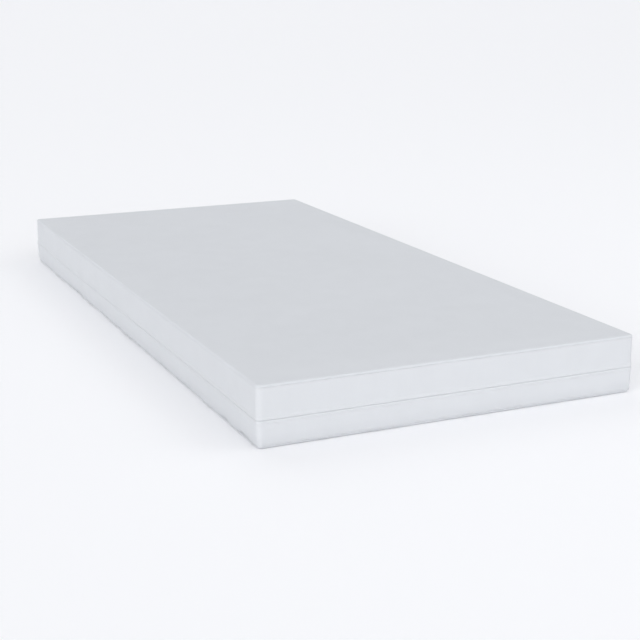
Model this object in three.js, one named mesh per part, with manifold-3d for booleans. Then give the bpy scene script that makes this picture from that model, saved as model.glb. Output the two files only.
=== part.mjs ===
// A plain single memory foam mattress: three glued foam layers in a two-part cover.
// The cover's upper and lower halves meet at a concealed coil zip that runs all round the sides.
// Millimetres, +Z up. The origin is on the floor, under the centre of the mattress.
// X is the width, Y is the length. The zip starts and ends near the rear corner of the +X side.
import * as THREE from 'three';
import { mergeVertices } from 'three/addons/utils/BufferGeometryUtils.js';
import Module from 'manifold-3d';

const wasm = await Module();
wasm.setup();

// Driving dimensions of the whole mattress.
const WIDTH = 900;
const LENGTH = 1900;
const HEIGHT = 134;
const CORNER = 13; // plan radius of the vertical corners, at the widest face
const EDGE_ROLL = 5; // radius of the top panel's edge, which ends at the seam
const BASE_ROLL = 5; // radius of the base panel's edge
const CLOTH = 1.6; // thickness of the cover fabric
const GAP = 0.3; // free space between touching pieces

// The zip line.
const ZIP_HEIGHT = 60; // middle of the zip above the floor
const SLOT = 3; // free height between the two folded hems
const HEM_PROUD = 1; // how far a folded hem stands out from the plain side
const HEM_DEPTH = 8;
const HEM_FLAT = 6; // height at which the hem starts to lean back to the plain side
const HEM_NOSE = 0.8; // size of the chamfer at a hem's fold
const TAPE_THICKNESS = 0.6;
const TAPE_TOP = 14; // how far the tape's sewn edge is from the middle of the zip
const COIL_INNER = 0.4; // coils keep this distance from the middle of the zip
const COIL_OUTER = 2.6;
const COIL_THICKNESS = 1.6;
const COIL_START = 928; // Y at which the coils begin, on the +X side
const COIL_END = 904; // Y at which they end, once round the mattress
const TAPE_START = 921;
const TAPE_END = 911;
const STOP_LENGTH = 2.5;

// The lower half leans in a little towards the floor.
const TUCK = 2.5;

// The slider and its pull tab, parked near the closed end of the zip.
const PARK_Y = 882;
const SLIDER_LENGTH = 14;
const SLIDER_WIDTH = 9;
const PLATE = 1.5; // outer plate
const BACK_PLATE = 0.8;
const NECK = 0.5; // the blade that joins the plates between the coils
const NECK_LENGTH = 3;
const BAIL_SPAN = 8;
const BAIL_CLEAR = 2.2;
const BAIL_BAR = 1;
const BAIL_WIDTH = 2.4;
const PIVOT_RISE = 1.1; // pivot of the pull tab above the outer plate
const TAB_LENGTH = 24;
const TAB_WIDTH = 7;
const TAB_THICKNESS = 1.2;
const TAB_BAR = 1.2;
const TAB_WINDOW_LENGTH = 6.5;
const TAB_WINDOW_WIDTH = 3.6;

// The foam core.
const FOAM_INSET = 5.9; // leaves room for the zip's back plate behind the cover
const MEMORY_FOAM = 50;
const TRANSITION_FOAM = 30;
const MEMORY_EDGE = 6;
const SUPPORT_EDGE = 3;

// Small sewn trim.
const THREAD = 0.6;
const PATCH = { low: -5, high: 10, start: 898, end: 934, thickness: 0.8, corner: 3 };
const LABEL = { x: -250, width: 50, height: 34, bottom: 9, thickness: 0.8 };

const ARC_STEPS = 6;
const ROLL_STEPS = 5;

const part = new THREE.Group();

function cloth(color) {
  return new THREE.MeshStandardMaterial({ color, roughness: 0.95, metalness: 0 });
}

function foam(color) {
  return new THREE.MeshStandardMaterial({ color, roughness: 1, metalness: 0 });
}

function metal() {
  return new THREE.MeshStandardMaterial({ color: '#b9bcc0', roughness: 0.35, metalness: 1 });
}

function add(name, geometry, material) {
  const mesh = new THREE.Mesh(geometry, material);
  mesh.name = name;
  part.add(mesh);
}

// ---- closed bodies that follow the mattress's rounded rectangle ----

// Stations once round the plan, anticlockwise from the rear +X corner. Each is a point on the
// widest outline with the outward direction there.
function cornerStations() {
  const stations = [];
  const quarter = Math.PI / 2;
  const corners = [[1, 1], [-1, 1], [-1, -1], [1, -1]];
  corners.forEach(([sx, sy], turn) => {
    for (let i = 0; i <= ARC_STEPS; i++) {
      const angle = (turn + i / ARC_STEPS) * quarter;
      const nx = Math.cos(angle);
      const ny = Math.sin(angle);
      const x = sx * (WIDTH / 2 - CORNER) + CORNER * nx;
      const y = sy * (LENGTH / 2 - CORNER) + CORNER * ny;
      stations.push({ x, y, nx, ny });
    }
  });
  return stations;
}

function place(station, [inset, z]) {
  return [station.x - inset * station.nx, station.y - inset * station.ny, z];
}

function bodyFrom(points, triangles) {
  const geometry = new THREE.BufferGeometry();
  geometry.setAttribute('position', new THREE.Float32BufferAttribute(points.flat(), 3));
  geometry.setIndex(triangles.flat());
  return geometry;
}

function wall(triangles, lower, upper, count, closed) {
  const last = closed ? count : count - 1;
  for (let i = 0; i < last; i++) {
    const j = (i + 1) % count;
    triangles.push([lower + i, lower + j, upper + j], [lower + i, upper + j, upper + i]);
  }
}

// A solid whose surface runs from a flat outline at the profile's start to one at its end.
// The profile is a list of [inset, z], and its first outline faces down.
function layered(profile) {
  const stations = cornerStations();
  const count = stations.length;
  const points = profile.flatMap((offset) => stations.map((station) => place(station, offset)));
  const triangles = [];
  for (let k = 0; k + 1 < profile.length; k++) {
    wall(triangles, k * count, (k + 1) * count, count, true);
  }
  const first = points.push([0, 0, profile[0][1]]) - 1;
  const last = points.push([0, 0, profile.at(-1)[1]]) - 1;
  const top = (profile.length - 1) * count;
  for (let i = 0; i < count; i++) {
    const j = (i + 1) % count;
    triangles.push([first, j, i], [last, top + i, top + j]);
  }
  return bodyFrom(points, triangles);
}

// A closed ring: a section of [inset, z] points, listed anticlockwise as seen with the inset
// growing to the right, carried once round the plan.
function ring(section) {
  const stations = cornerStations();
  const count = stations.length;
  const points = section.flatMap((offset) => stations.map((station) => place(station, offset)));
  const triangles = [];
  section.forEach((_, k) => {
    wall(triangles, ((k + 1) % section.length) * count, k * count, count, true);
  });
  return bodyFrom(points, triangles);
}

// The same section carried round from one Y to another on the +X side, with flat ends.
function strip(section, startY, endY) {
  const start = { x: WIDTH / 2, y: startY, nx: 1, ny: 0 };
  const end = { x: WIDTH / 2, y: endY, nx: 1, ny: 0 };
  const stations = [start, ...cornerStations(), end];
  const count = stations.length;
  const points = section.flatMap((offset) => stations.map((station) => place(station, offset)));
  const triangles = [];
  section.forEach((_, k) => {
    wall(triangles, ((k + 1) % section.length) * count, k * count, count, false);
  });
  for (let k = 1; k + 1 < section.length; k++) {
    triangles.push([0, (k + 1) * count, k * count]);
    triangles.push([count - 1, (k + 1) * count - 1, (k + 2) * count - 1]);
  }
  return bodyFrom(points, triangles);
}

function rectangle(insetLow, insetHigh, low, high) {
  return [[insetLow, low], [insetHigh, low], [insetHigh, high], [insetLow, high]];
}

// ---- plates and joins for the small hardware ----

function roundedShape(width, height, radius) {
  const shape = new THREE.Shape();
  const w = width / 2;
  const h = height / 2;
  shape.absarc(w - radius, h - radius, radius, 0, Math.PI / 2);
  shape.absarc(-w + radius, h - radius, radius, Math.PI / 2, Math.PI);
  shape.absarc(-w + radius, -h + radius, radius, Math.PI, 1.5 * Math.PI);
  shape.absarc(w - radius, -h + radius, radius, 1.5 * Math.PI, 2 * Math.PI);
  shape.closePath();
  return shape;
}

// A shape drawn in Y and Z, made solid from one X to another.
function plateAlongX(shape, fromX, toX, y, z) {
  const geometry = new THREE.ExtrudeGeometry(shape, {
    depth: toX - fromX,
    bevelEnabled: false,
    curveSegments: 6,
  });
  const turn = new THREE.Matrix4().makeBasis(
    new THREE.Vector3(0, 1, 0),
    new THREE.Vector3(0, 0, 1),
    new THREE.Vector3(1, 0, 0),
  );
  geometry.applyMatrix4(turn);
  geometry.translate(fromX, y, z);
  return geometry;
}

function box(low, high) {
  const size = high.map((value, axis) => value - low[axis]);
  const middle = high.map((value, axis) => (value + low[axis]) / 2);
  return new THREE.BoxGeometry(...size).translate(...middle);
}

function solidOf(geometry) {
  const bare = geometry.clone();
  bare.deleteAttribute('normal');
  bare.deleteAttribute('uv');
  const merged = mergeVertices(bare, 1e-4);
  return new wasm.Manifold(new wasm.Mesh({
    numProp: 3,
    vertProperties: new Float32Array(merged.attributes.position.array),
    triVerts: new Uint32Array(merged.index.array),
  }));
}

function geometryOf(solid) {
  const mesh = solid.getMesh();
  const geometry = new THREE.BufferGeometry();
  geometry.setAttribute('position', new THREE.BufferAttribute(mesh.vertProperties, 3));
  geometry.setIndex(new THREE.BufferAttribute(mesh.triVerts, 1));
  return geometry;
}

function joined(...geometries) {
  return geometryOf(geometries.map(solidOf).reduce((all, next) => all.add(next)));
}

// ---- the foam core ----

function quarterRoll(inset, z, radius, fromAngle, toAngle) {
  const places = [];
  for (let i = 0; i <= ROLL_STEPS; i++) {
    const angle = fromAngle + (toAngle - fromAngle) * i / ROLL_STEPS;
    places.push([inset - radius * Math.cos(angle), z + radius * Math.sin(angle)]);
  }
  return places;
}

function addCore() {
  const bottom = CLOTH + GAP;
  const top = HEIGHT - CLOTH - GAP;
  const memoryBottom = top - MEMORY_FOAM;
  const transitionTop = memoryBottom - GAP;
  const transitionBottom = transitionTop - TRANSITION_FOAM;
  const supportTop = transitionBottom - GAP;
  add('support_foam_layer', layered([
    ...quarterRoll(FOAM_INSET + SUPPORT_EDGE, bottom + SUPPORT_EDGE, SUPPORT_EDGE, -Math.PI / 2, 0),
    [FOAM_INSET, supportTop],
  ]), foam('#dfe3e6'));
  add('transition_foam_layer', layered([
    [FOAM_INSET, transitionBottom],
    [FOAM_INSET, transitionTop],
  ]), foam('#cfe0ea'));
  add('memory_foam_layer', layered([
    [FOAM_INSET, memoryBottom],
    ...quarterRoll(FOAM_INSET + MEMORY_EDGE, top - MEMORY_EDGE, MEMORY_EDGE, 0, Math.PI / 2),
  ]), foam('#f1ead8'));
}

// ---- the cover ----

// The top panel turns down over the edge and stops at the seam to the border.
function addTopPanel() {
  const inset = HEM_PROUD + EDGE_ROLL;
  const seam = HEIGHT - EDGE_ROLL;
  add('top_panel', layered([
    ...quarterRoll(inset, seam, EDGE_ROLL - CLOTH, 0, Math.PI / 2).reverse(),
    ...quarterRoll(inset, seam, EDGE_ROLL, 0, Math.PI / 2),
  ]), cloth('#d4d7dc'));
}

function addBasePanel() {
  const inset = HEM_PROUD + TUCK + BASE_ROLL;
  add('base_panel', layered([
    ...quarterRoll(inset, BASE_ROLL, BASE_ROLL, -Math.PI / 2, 0),
    ...quarterRoll(inset, BASE_ROLL, BASE_ROLL - CLOTH, -Math.PI / 2, 0).reverse(),
  ]), cloth('#cfd3d8'));
}

// Each border ends in a folded hem at the zip. side is 1 above the zip and -1 below it.
function borderSection(side, seam, seamInset) {
  const fold = ZIP_HEIGHT + side * SLOT / 2;
  const section = [
    [seamInset, seam],
    [HEM_PROUD, fold + side * HEM_DEPTH],
    [0, fold + side * HEM_FLAT],
    [0, fold + side * HEM_NOSE],
    [HEM_NOSE, fold],
    [HEM_PROUD + CLOTH, fold],
    [HEM_PROUD + CLOTH, fold + side * HEM_DEPTH],
    [seamInset + CLOTH, seam],
  ];
  return side > 0 ? section : section.reverse();
}

function addBorders() {
  const topSeam = HEIGHT - EDGE_ROLL - GAP;
  add('upper_border', ring(borderSection(1, topSeam, HEM_PROUD)), cloth('#e1e4e9'));
  const baseSeam = BASE_ROLL + GAP;
  add('lower_border', ring(borderSection(-1, baseSeam, HEM_PROUD + TUCK)), cloth('#dfe2e7'));
}

// One thread ring lies over each seam, just outside the fabric.
function addSeamThreads() {
  const seams = [
    ['top_seam_thread', HEM_PROUD, HEIGHT - EDGE_ROLL],
    ['base_seam_thread', HEM_PROUD + TUCK, BASE_ROLL],
  ];
  for (const [name, face, z] of seams) {
    const outer = face - GAP - THREAD;
    add(name, ring(rectangle(outer, face - GAP, z - THREAD / 2, z + THREAD / 2)), cloth('#f2f3f5'));
  }
}

// ---- the zip ----

function mirrored(side, near, far) {
  const ends = [ZIP_HEIGHT + side * near, ZIP_HEIGHT + side * far];
  return ends.sort((a, b) => a - b);
}

function addZipHalf(prefix, side) {
  const face = HEM_PROUD + CLOTH + GAP;
  const tapeEdge = COIL_OUTER + GAP;
  const tape = rectangle(face, face + TAPE_THICKNESS, ...mirrored(side, tapeEdge, TAPE_TOP));
  add(`${prefix}_zip_tape`, strip(tape, TAPE_START, TAPE_END), cloth('#dddfe3'));
  const coilSpan = mirrored(side, COIL_INNER, COIL_OUTER);
  const coil = rectangle(face, face + COIL_THICKNESS, ...coilSpan);
  add(`${prefix}_zip_coil`, strip(coil, COIL_START, COIL_END), cloth('#c9ccd1'));
  const stops = [
    [`${prefix}_stop_closed_end`, COIL_END + GAP],
    [`${prefix}_stop_open_end`, COIL_START - GAP - STOP_LENGTH],
  ];
  const outerX = WIDTH / 2 - face;
  for (const [name, y] of stops) {
    const low = [outerX - COIL_THICKNESS, y, coilSpan[0]];
    add(name, box(low, [outerX, y + STOP_LENGTH, coilSpan[1]]), metal());
  }
}

// The two plates sit outside the hems and behind the coils. A thin blade joins them through
// the middle of the zip, and an arch on the outer plate holds the pull tab.
function addSlider() {
  const face = WIDTH / 2 + GAP;
  const rise = face + PLATE;
  const back = WIDTH / 2 - HEM_PROUD - CLOTH - GAP - COIL_THICKNESS - GAP;
  const outer = roundedShape(SLIDER_LENGTH, SLIDER_WIDTH, SLIDER_WIDTH / 3);
  const legs = [-1, 1].map((end) => {
    const y = PARK_Y + end * (BAIL_SPAN - BAIL_BAR) / 2;
    const low = [rise - GAP, y - BAIL_BAR / 2, ZIP_HEIGHT - BAIL_WIDTH / 2];
    return box(low, [rise + BAIL_CLEAR + BAIL_BAR / 2, y + BAIL_BAR / 2, ZIP_HEIGHT + BAIL_WIDTH / 2]);
  });
  const bridge = box(
    [rise + BAIL_CLEAR, PARK_Y - BAIL_SPAN / 2, ZIP_HEIGHT - BAIL_WIDTH / 2],
    [rise + BAIL_CLEAR + BAIL_BAR, PARK_Y + BAIL_SPAN / 2, ZIP_HEIGHT + BAIL_WIDTH / 2],
  );
  const neck = box(
    [back - BACK_PLATE / 2, PARK_Y - NECK_LENGTH / 2, ZIP_HEIGHT - NECK / 2],
    [face + PLATE / 2, PARK_Y + NECK_LENGTH / 2, ZIP_HEIGHT + NECK / 2],
  );
  add('zip_slider', joined(
    plateAlongX(outer, face, rise, PARK_Y, ZIP_HEIGHT),
    plateAlongX(outer, back - BACK_PLATE, back, PARK_Y, ZIP_HEIGHT),
    neck,
    ...legs,
    bridge,
  ), metal());
}

// The tab's end bar passes under the arch, and the window beside it lets the arch through.
function addPullTab() {
  const x = WIDTH / 2 + GAP + PLATE + PIVOT_RISE;
  const middle = TAB_LENGTH / 2 - TAB_BAR / 2;
  const shape = roundedShape(TAB_LENGTH, TAB_WIDTH, TAB_WIDTH / 2 - 1);
  const windowStart = -TAB_LENGTH / 2 + TAB_BAR;
  const halfWidth = TAB_WINDOW_WIDTH / 2;
  const window_ = new THREE.Path();
  window_.moveTo(windowStart, -halfWidth);
  window_.lineTo(windowStart, halfWidth);
  window_.lineTo(windowStart + TAB_WINDOW_LENGTH, halfWidth);
  window_.lineTo(windowStart + TAB_WINDOW_LENGTH, -halfWidth);
  window_.closePath();
  shape.holes.push(window_);
  const half = TAB_THICKNESS / 2;
  add('pull_tab', plateAlongX(shape, x - half, x + half, PARK_Y + middle, ZIP_HEIGHT), metal());
}

// ---- sewn trim ----

// A small patch, sewn to the upper hem, covers the place where the zip starts and ends.
function addEndPatch() {
  const shape = roundedShape(PATCH.end - PATCH.start, PATCH.high - PATCH.low, PATCH.corner);
  const x = WIDTH / 2 + GAP;
  const y = (PATCH.start + PATCH.end) / 2;
  const z = ZIP_HEIGHT + (PATCH.low + PATCH.high) / 2;
  add('zip_end_patch', plateAlongX(shape, x, x + PATCH.thickness, y, z), cloth('#e1e4e9'));
}

// A blank woven label hangs against the rear of the lower border.
function addLabel() {
  const face = LENGTH / 2 - HEM_PROUD + GAP;
  add('care_label', box(
    [LABEL.x - LABEL.width / 2, face, LABEL.bottom],
    [LABEL.x + LABEL.width / 2, face + LABEL.thickness, LABEL.bottom + LABEL.height],
  ), cloth('#f4f5f6'));
}

addCore();
addTopPanel();
addBasePanel();
addBorders();
addSeamThreads();
addZipHalf('upper', 1);
addZipHalf('lower', -1);
addSlider();
addPullTab();
addEndPatch();
addLabel();

export default part;
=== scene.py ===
# %% [markdown]
# # A plain memory foam mattress
#
# A single mattress lies flat on a pale floor. Three glued foam layers fill a smooth knitted
# cover, and the cover's two halves meet at a zip that is hidden between two folded hems.
#
# The CAD model is the frame: it says where every piece is and how it moves. Each cell below
# makes one visible piece of cloth, foam or metal in the space that the frame gives it.

# %% Load the frame
import math

import bmesh
import bpy
import numpy as np
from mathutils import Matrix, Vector, noise


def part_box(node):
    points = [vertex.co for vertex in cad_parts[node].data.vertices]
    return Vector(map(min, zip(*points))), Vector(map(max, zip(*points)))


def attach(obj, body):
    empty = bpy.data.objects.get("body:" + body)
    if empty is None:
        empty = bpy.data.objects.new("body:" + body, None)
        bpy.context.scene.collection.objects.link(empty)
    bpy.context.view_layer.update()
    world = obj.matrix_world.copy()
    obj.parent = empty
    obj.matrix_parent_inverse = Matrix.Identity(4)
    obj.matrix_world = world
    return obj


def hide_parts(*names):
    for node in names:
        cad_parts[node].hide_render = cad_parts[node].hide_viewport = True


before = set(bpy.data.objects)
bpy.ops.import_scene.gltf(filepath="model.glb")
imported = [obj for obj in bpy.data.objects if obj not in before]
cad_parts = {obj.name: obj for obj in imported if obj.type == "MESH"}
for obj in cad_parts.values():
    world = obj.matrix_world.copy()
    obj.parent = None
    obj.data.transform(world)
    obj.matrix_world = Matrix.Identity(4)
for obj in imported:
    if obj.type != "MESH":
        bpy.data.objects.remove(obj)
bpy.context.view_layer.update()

# %% [markdown]
# ## Camera
#
# A long lens stands low at the front left corner, so the top is seen at a shallow angle and
# both near sides show. It could be placed by eye, but its place is given from that corner,
# so it stays right if the mattress changes.

# %% Camera
MM = 0.001
CAMERA_FROM_CORNER = Vector((-911.5, -2317.8, 937.9)) * MM
CAMERA_YAW = math.radians(24.311)
CAMERA_PITCH = math.radians(15.091)
CAMERA_LENS = 75.61  # mm
SENSOR_WIDTH = 36.0  # mm
CLIP_END = 400.0


def add_object(name, data):
    made = bpy.data.objects.new(name, data)
    bpy.context.collection.objects.link(made)
    return made


sides_low, sides_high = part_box("lower_border")
camera_data = bpy.data.cameras.new("camera")
camera_data.sensor_width = SENSOR_WIDTH
camera_data.lens = CAMERA_LENS
camera_data.clip_end = CLIP_END
camera = add_object("camera", camera_data)
camera.location = Vector((sides_low.x, sides_low.y, 0.0)) + CAMERA_FROM_CORNER
camera.rotation_euler = (math.pi / 2 - CAMERA_PITCH, 0.0, -CAMERA_YAW)
bpy.context.scene.camera = camera
print("camera stands at", [round(x, 3) for x in camera.location])

# %% [markdown]
# ## Light and floor
#
# A white object on a white floor is drawn by small steps of brightness: the two near sides
# are a little lighter than the top, and a soft shadow leans to the left. Area lamps would
# fall off along two metres of mattress. Wide suns light it evenly, and a bright sky fills in.

# %% Lamps and sky
SKY_COLOUR = (0.975, 0.99, 1.02, 1.0)
SKY_STRENGTH = 0.515
HORIZON_COLOUR = (0.91, 0.925, 0.955, 1.0)  # what a low view sees beyond the floor
SUNS = (  # name, direction towards the lamp, strength, apparent size in degrees
    ("front_sun", (0.00, -0.93, 0.36), 0.78, 50.0),
    ("left_sun", (-0.85, -0.42, 0.30), 1.37, 50.0),
    ("right_sun", (0.78, -0.20, 0.60), 0.38, 50.0),
    ("rear_sun", (0.10, 0.75, 0.65), 0.62, 55.0),
)
SOFTBOX_PLACE = Vector((3.0, -3.2, 3.5))
SOFTBOX_SIDE = 2.5
SOFTBOX_POWER = 19.0


def add_lamp(name, kind, towards, power, **settings):
    lamp = bpy.data.lights.new(name, kind)
    lamp.energy = power
    for setting, value in settings.items():
        setattr(lamp, setting, value)
    made = add_object(name, lamp)
    made.rotation_euler = Vector(towards).to_track_quat("Z", "Y").to_euler()
    return made


bpy.context.scene.view_settings.view_transform = "Standard"
world = bpy.data.worlds.new("sky")
world.use_nodes = True
sky_nodes, sky_links = world.node_tree.nodes, world.node_tree.links
lit_sky = sky_nodes["Background"]
lit_sky.inputs["Color"].default_value = SKY_COLOUR
lit_sky.inputs["Strength"].default_value = SKY_STRENGTH
seen_sky = sky_nodes.new("ShaderNodeBackground")
seen_sky.inputs["Color"].default_value = HORIZON_COLOUR
either_sky = sky_nodes.new("ShaderNodeMixShader")
sky_links.new(sky_nodes.new("ShaderNodeLightPath").outputs["Is Camera Ray"], either_sky.inputs[0])
sky_links.new(lit_sky.outputs[0], either_sky.inputs[1])
sky_links.new(seen_sky.outputs[0], either_sky.inputs[2])
sky_links.new(either_sky.outputs[0], sky_nodes["World Output"].inputs["Surface"])
bpy.context.scene.world = world

for name, towards, strength, apparent_size in SUNS:
    add_lamp(name, "SUN", towards, strength, angle=math.radians(apparent_size))
softbox = add_lamp("softbox", "AREA", SOFTBOX_PLACE, SOFTBOX_POWER, size=SOFTBOX_SIDE)
softbox.location = SOFTBOX_PLACE
print("lamps:", [sun[0] for sun in SUNS], "and a softbox")

# %% Floor
FLOOR_HALF = 60.0  # metres, so that its edge lies beyond every view
FLOOR_COLOUR = (0.966, 0.967, 0.984, 1.0)

floor_material = bpy.data.materials.new("floor_paint")
floor_material.use_nodes = True
floor_shader = floor_material.node_tree.nodes["Principled BSDF"]
floor_shader.inputs["Base Color"].default_value = FLOOR_COLOUR
floor_shader.inputs["Roughness"].default_value = 0.9
floor_shader.inputs["Specular IOR Level"].default_value = 0.1
floor_mesh = bpy.data.meshes.new("floor")
floor_corners = [(x * FLOOR_HALF, y * FLOOR_HALF, 0.0)
                 for x, y in ((-1, -1), (1, -1), (1, 1), (-1, 1))]
floor_mesh.from_pydata(floor_corners, [], [(0, 1, 2, 3)])
floor_mesh.materials.append(floor_material)
add_object("floor", floor_mesh)
print("floor, m:", 2 * FLOOR_HALF)

# %% [markdown]
# ## Shader groups
#
# Every cloth here shares a few effects: knitted stitches, cloudy tone, a woven tape. Each
# effect is one node group with its own sockets, so a material only says how coarse or how
# strong it is. The Principled shader stays in each material, where the export can read it.

# %% Node helpers
def add_node(tree, kind, **settings):
    made = tree.nodes.new("ShaderNode" + kind)
    for name, value in settings.items():
        setattr(made, name, value)
    return made


def feed(tree, socket, value):
    """Links an output to a socket, or sets a plain value on it."""
    if isinstance(value, bpy.types.NodeSocket):
        tree.links.new(value, socket)
    else:
        socket.default_value = value


def maths(tree, operation, *values):
    made = add_node(tree, "Math", operation=operation)
    for socket, value in zip(made.inputs, values):
        feed(tree, socket, value)
    return made.outputs[0]


def noise_at(tree, place, scale, detail=2.0, roughness=0.5):
    made = add_node(tree, "TexNoise")
    feed(tree, made.inputs["Vector"], place)
    feed(tree, made.inputs["Scale"], scale)
    made.inputs["Detail"].default_value = detail
    made.inputs["Roughness"].default_value = roughness
    return made.outputs["Fac"]


def spread(tree, value, low, high, to_low=0.0, to_high=1.0):
    made = add_node(tree, "MapRange")
    feed(tree, made.inputs["Value"], value)
    for name, number in zip(("From Min", "From Max", "To Min", "To Max"),
                            (low, high, to_low, to_high)):
        feed(tree, made.inputs[name], number)
    return made.outputs[0]


def times(tree, colour, factor):
    made = add_node(tree, "VectorMath", operation="SCALE")
    feed(tree, made.inputs[0], colour)
    feed(tree, made.inputs["Scale"], factor)
    return made.outputs[0]


def split(tree, place):
    made = add_node(tree, "SeparateXYZ")
    feed(tree, made.inputs[0], place)
    return made.outputs


def new_group(name, inputs, outputs):
    """An empty shader group. inputs is {name: (socket type, default)}, outputs {name: type}."""
    group = bpy.data.node_groups.new(name, "ShaderNodeTree")
    for socket_name, (kind, default) in inputs.items():
        socket = group.interface.new_socket(socket_name, in_out="INPUT", socket_type=kind)
        if default is not None:
            socket.default_value = default
    for socket_name, kind in outputs.items():
        group.interface.new_socket(socket_name, in_out="OUTPUT", socket_type=kind)
    inlet = group.nodes.new("NodeGroupInput")
    outlet = group.nodes.new("NodeGroupOutput")
    return group, inlet.outputs, outlet.inputs


FLOAT, VECTOR, COLOUR = "NodeSocketFloat", "NodeSocketVector", "NodeSocketColor"

# %% Knitted stitches
# A jersey face is columns of small V shapes: the phase of each row is bent by the distance
# from the middle of its column.
def make_knit_group():
    group, given, made = new_group(
        "Knitted stitches",
        {"Place": (VECTOR, None), "Column": (FLOAT, 0.0016), "Row": (FLOAT, 0.0012)},
        {"Height": FLOAT, "Furrow": FLOAT},
    )
    parts = split(group, given["Place"])
    across = maths(group, "DIVIDE", parts["X"], given["Column"])
    along = maths(group, "DIVIDE", parts["Y"], given["Row"])
    inside = maths(group, "FRACT", across)
    from_middle = maths(group, "ABSOLUTE", maths(group, "SUBTRACT", inside, 0.5))
    bent = maths(group, "ADD", along, from_middle)
    wave = maths(group, "SINE", maths(group, "MULTIPLY", bent, math.tau))
    rows = spread(group, wave, -1.0, 1.0)
    columns = maths(group, "SINE", maths(group, "MULTIPLY", from_middle, math.pi))
    height = maths(group, "MULTIPLY", rows, spread(group, columns, 0.0, 1.0, 0.35, 1.0))
    feed(group, made["Height"], height)
    feed(group, made["Furrow"], maths(group, "SUBTRACT", 1.0, height))
    return group


knit_group = make_knit_group()

# %% Cloudy tone
# New cloth is never one flat white: the yarn, the filling behind it and handling leave soft
# clouds, and single fibres leave specks.
def make_tone_group():
    group, given, made = new_group(
        "Cloudy tone",
        {"Place": (VECTOR, None), "Base": (COLOUR, (1, 1, 1, 1)), "Clouds": (FLOAT, 0.02),
         "Specks": (FLOAT, 0.02), "Cloud Scale": (FLOAT, 5.0), "Speck Scale": (FLOAT, 900.0)},
        {"Colour": COLOUR, "Cloud": FLOAT},
    )
    cloud = noise_at(group, given["Place"], given["Cloud Scale"], 4.0, 0.6)
    speck = noise_at(group, given["Place"], given["Speck Scale"], 1.0)
    cloud_shade = maths(group, "MULTIPLY", maths(group, "SUBTRACT", cloud, 0.5), given["Clouds"])
    speck_shade = maths(group, "MULTIPLY", maths(group, "SUBTRACT", speck, 0.5), given["Specks"])
    factor = maths(group, "ADD", 1.0, maths(group, "ADD", cloud_shade, speck_shade))
    feed(group, made["Colour"], times(group, given["Base"], factor))
    feed(group, made["Cloud"], cloud)
    return group


tone_group = make_tone_group()

# %% Woven tape
# Twill tape has fine ribs that lean one way and then the other, in bands.
def make_twill_group():
    group, given, made = new_group(
        "Twill weave",
        {"Place": (VECTOR, None), "Rib": (FLOAT, 0.0007), "Band": (FLOAT, 0.004)},
        {"Height": FLOAT},
    )
    parts = split(group, given["Place"])
    band = maths(group, "PINGPONG", parts["Y"], given["Band"])
    turns = maths(group, "MULTIPLY", maths(group, "ADD", parts["X"], band), math.tau)
    wave = maths(group, "SINE", maths(group, "DIVIDE", turns, given["Rib"]))
    feed(group, made["Height"], spread(group, wave, -1.0, 1.0))
    return group


twill_group = make_twill_group()

# %% Foam cells
# Cut foam shows open cells: small pits of uneven size between thin walls. The foam material paints
# the pits darker, as painted shade.
def make_cells_group():
    group, given, made = new_group(
        "Foam cells",
        {"Place": (VECTOR, None), "Cell": (FLOAT, 0.0018)},
        {"Height": FLOAT, "Pit": FLOAT},
    )
    scale = maths(group, "DIVIDE", 1.0, given["Cell"])
    cells = add_node(group, "TexVoronoi", feature="F1")
    feed(group, cells.inputs["Vector"], given["Place"])
    feed(group, cells.inputs["Scale"], scale)
    patchy = noise_at(group, given["Place"], maths(group, "MULTIPLY", scale, 0.13), 3.0)
    depth = maths(group, "MULTIPLY", spread(group, cells.outputs["Distance"], 0.15, 0.6, 1.0, 0.0),
                  spread(group, patchy, 0.35, 0.7, 0.3, 1.0))
    feed(group, made["Pit"], depth)
    feed(group, made["Height"], maths(group, "SUBTRACT", 1.0, depth))
    return group


cells_group = make_cells_group()

# %% [markdown]
# ## Materials
#
# Each finish below is one Principled shader. Cloth is rough and gets sheen, which is the
# light that loose fibre ends scatter at a grazing angle. The stitches are far too small to
# model over three square metres, so they are a bump, while folds and seams are real shape.

# %% Material helpers
CLOTH_PLACE = "cloth_place"  # attribute with each point's place on the flat cloth, in metres


def start_material(name, roughness, specular, metallic=0.0, sheen=0.0):
    material = bpy.data.materials.new(name)
    material.use_nodes = True
    shader = material.node_tree.nodes["Principled BSDF"]
    for socket, value in (("Roughness", roughness), ("Specular IOR Level", specular),
                          ("Metallic", metallic), ("Sheen Weight", sheen),
                          ("Sheen Roughness", 0.5)):
        shader.inputs[socket].default_value = value
    return material, material.node_tree, shader


def object_place(tree):
    return add_node(tree, "TexCoord").outputs["Object"]


def cloth_place(tree):
    return add_node(tree, "Attribute", attribute_name=CLOTH_PLACE).outputs["Vector"]


def place_group(tree, group, **values):
    made = add_node(tree, "Group", node_tree=group)
    for name, value in values.items():
        feed(tree, made.inputs[name.replace("_", " ")], value)
    return made.outputs


def toned(tree, colour, clouds, specks, cloud_scale, speck_scale):
    return place_group(tree, tone_group, Place=object_place(tree), Base=(*colour, 1.0),
                       Clouds=clouds, Specks=specks, Cloud_Scale=cloud_scale,
                       Speck_Scale=speck_scale)


def darker_where(tree, mask, tone, dark):
    """The tone, with a dark colour mixed in by the mask."""
    made = add_node(tree, "Mix", data_type="RGBA")
    feed(tree, made.inputs["Factor"], mask)
    feed(tree, made.inputs["A"], tone)
    made.inputs["B"].default_value = (*dark, 1.0)
    return made.outputs["Result"]


def bump(tree, shader, height, distance, strength=1.0, under=None):
    made = add_node(tree, "Bump")
    made.inputs["Strength"].default_value = strength
    made.inputs["Distance"].default_value = distance
    feed(tree, made.inputs["Height"], height)
    if under is not None:
        feed(tree, made.inputs["Normal"], under)
    feed(tree, shader.inputs["Normal"], made.outputs[0])
    return made.outputs[0]

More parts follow.
